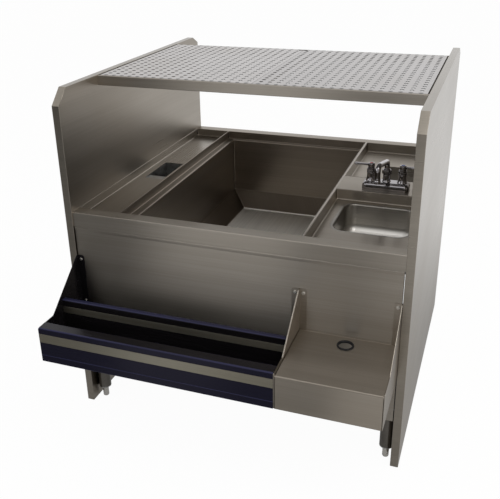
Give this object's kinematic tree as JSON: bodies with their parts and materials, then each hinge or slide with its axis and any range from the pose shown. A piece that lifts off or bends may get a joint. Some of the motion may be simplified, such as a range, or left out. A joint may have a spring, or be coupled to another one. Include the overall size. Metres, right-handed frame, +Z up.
{
  "type": "bar sink with ice bin",
  "caption": "Free-standing pass-through bar station: insulated ice bin, drain trough, hand sink with lever faucet, rear tray, perforated shelf, bottle rail and step-down box.",
  "frame": {"origin": "on the floor under the middle of the overall box", "axes": "+Z up, +Y from the user's side to the guest's side, +X to the user's right"},
  "size_m": [1.067, 1.274, 1.086],
  "materials": {
    "steel": "brushed",
    "galvanised": "dull",
    "core_board": "raw",
    "foam": "matte",
    "bright": "polished",
    "chrome": "polished",
    "brass": "machined",
    "black": "gloss",
    "rubber": "matte",
    "red": "gloss",
    "blue": "gloss"
  },
  "bodies": {
    "station": {"left_panel_skins": "steel", "left_panel_caps": "steel", "right_panel_skins": "steel", "right_panel_caps": "steel", "front_rim": "steel", "rail_right_bracket": "steel", "rear_rim": "steel", "trough_pan": "steel", "ice_bin_liner": "steel", "divider_cap": "steel", "sink_pan": "steel", "sink_bowl": "steel", "faucet_deck": "steel", "rear_tray": "steel", "front_panel": "steel", "back_panel": "steel", "leg_tubes": "steel", "rail_front_strip": "steel", "rail_rear_strip": "steel", "box_shell": "steel", "box_left_gusset": "steel", "box_right_gusset": "steel", "shelf_front_rail": "steel", "shelf_rear_rail": "steel", "shelf_side_ledges": "steel", "shelf_centre_bar": "steel", "hose_chase": "galvanised", "bin_shell": "galvanised", "base_channels": "galvanised", "leg_inserts": "galvanised", "left_panel_core": "core_board", "right_panel_core": "core_board", "bin_insulation": "foam", "bin_drain": "bright", "sink_drain": "bright", "drain_nuts": "bright", "bracket_bolts": "bright", "bracket_nuts": "bright", "faucet_base": "chrome", "valve_bodies": "chrome", "shank_nuts": "brass", "rail_trough": "black", "rail_left_bracket": "black", "hose_grommet": "rubber"},
    "hot_lever": {"lever_left": "chrome", "button_left": "red"},
    "cold_lever": {"lever_right": "chrome", "button_right": "blue"},
    "swing_spout": {"spout": "chrome", "aerator": "chrome"},
    "left_sheet": {"shelf_sheet_left": "steel"},
    "right_sheet": {"shelf_sheet_right": "steel"},
    "loose_bin_strainer": {"bin_strainer": "bright"},
    "loose_sink_strainer": {"sink_strainer": "bright"},
    "front_left_foot": {"foot_front_left": "bright"},
    "front_right_foot": {"foot_front_right": "bright"},
    "rear_left_foot": {"foot_rear_left": "bright"},
    "rear_right_foot": {"foot_rear_right": "bright"}
  },
  "joints": [
    {"name": "hot_lever_turn", "type": "hinge", "parent": "station", "child": "hot_lever", "pos_m": [0.3215, 0.102, 0.776], "axis": [0, 0, 1], "range_deg": [0, 90]},
    {"name": "cold_lever_turn", "type": "hinge", "parent": "station", "child": "cold_lever", "pos_m": [0.4235, 0.102, 0.776], "axis": [0, 0, -1], "range_deg": [0, 90]},
    {"name": "spout_swing", "type": "hinge", "parent": "station", "child": "swing_spout", "pos_m": [0.3725, 0.102, 0.772], "axis": [0, 0, 1], "range_deg": [-60, 60]},
    {"name": "left_sheet_lift", "type": "slide", "parent": "station", "child": "left_sheet", "axis": [0, 0, 1], "range_m": [0, 0.25]},
    {"name": "right_sheet_lift", "type": "slide", "parent": "station", "child": "right_sheet", "axis": [0, 0, 1], "range_m": [0, 0.25]},
    {"name": "bin_strainer_lift", "type": "slide", "parent": "station", "child": "loose_bin_strainer", "axis": [0, 0, 1], "range_m": [0, 0.3]},
    {"name": "sink_strainer_lift", "type": "slide", "parent": "station", "child": "loose_sink_strainer", "axis": [0, 0, 1], "range_m": [0, 0.15]},
    {"name": "front_left_foot_screw", "type": "slide", "parent": "station", "child": "front_left_foot", "axis": [0, 0, -1], "range_m": [0, 0.025]},
    {"name": "front_right_foot_screw", "type": "slide", "parent": "station", "child": "front_right_foot", "axis": [0, 0, -1], "range_m": [0, 0.025]},
    {"name": "rear_left_foot_screw", "type": "slide", "parent": "station", "child": "rear_left_foot", "axis": [0, 0, -1], "range_m": [0, 0.025]},
    {"name": "rear_right_foot_screw", "type": "slide", "parent": "station", "child": "rear_right_foot", "axis": [0, 0, -1], "range_m": [0, 0.025]}
  ]
}
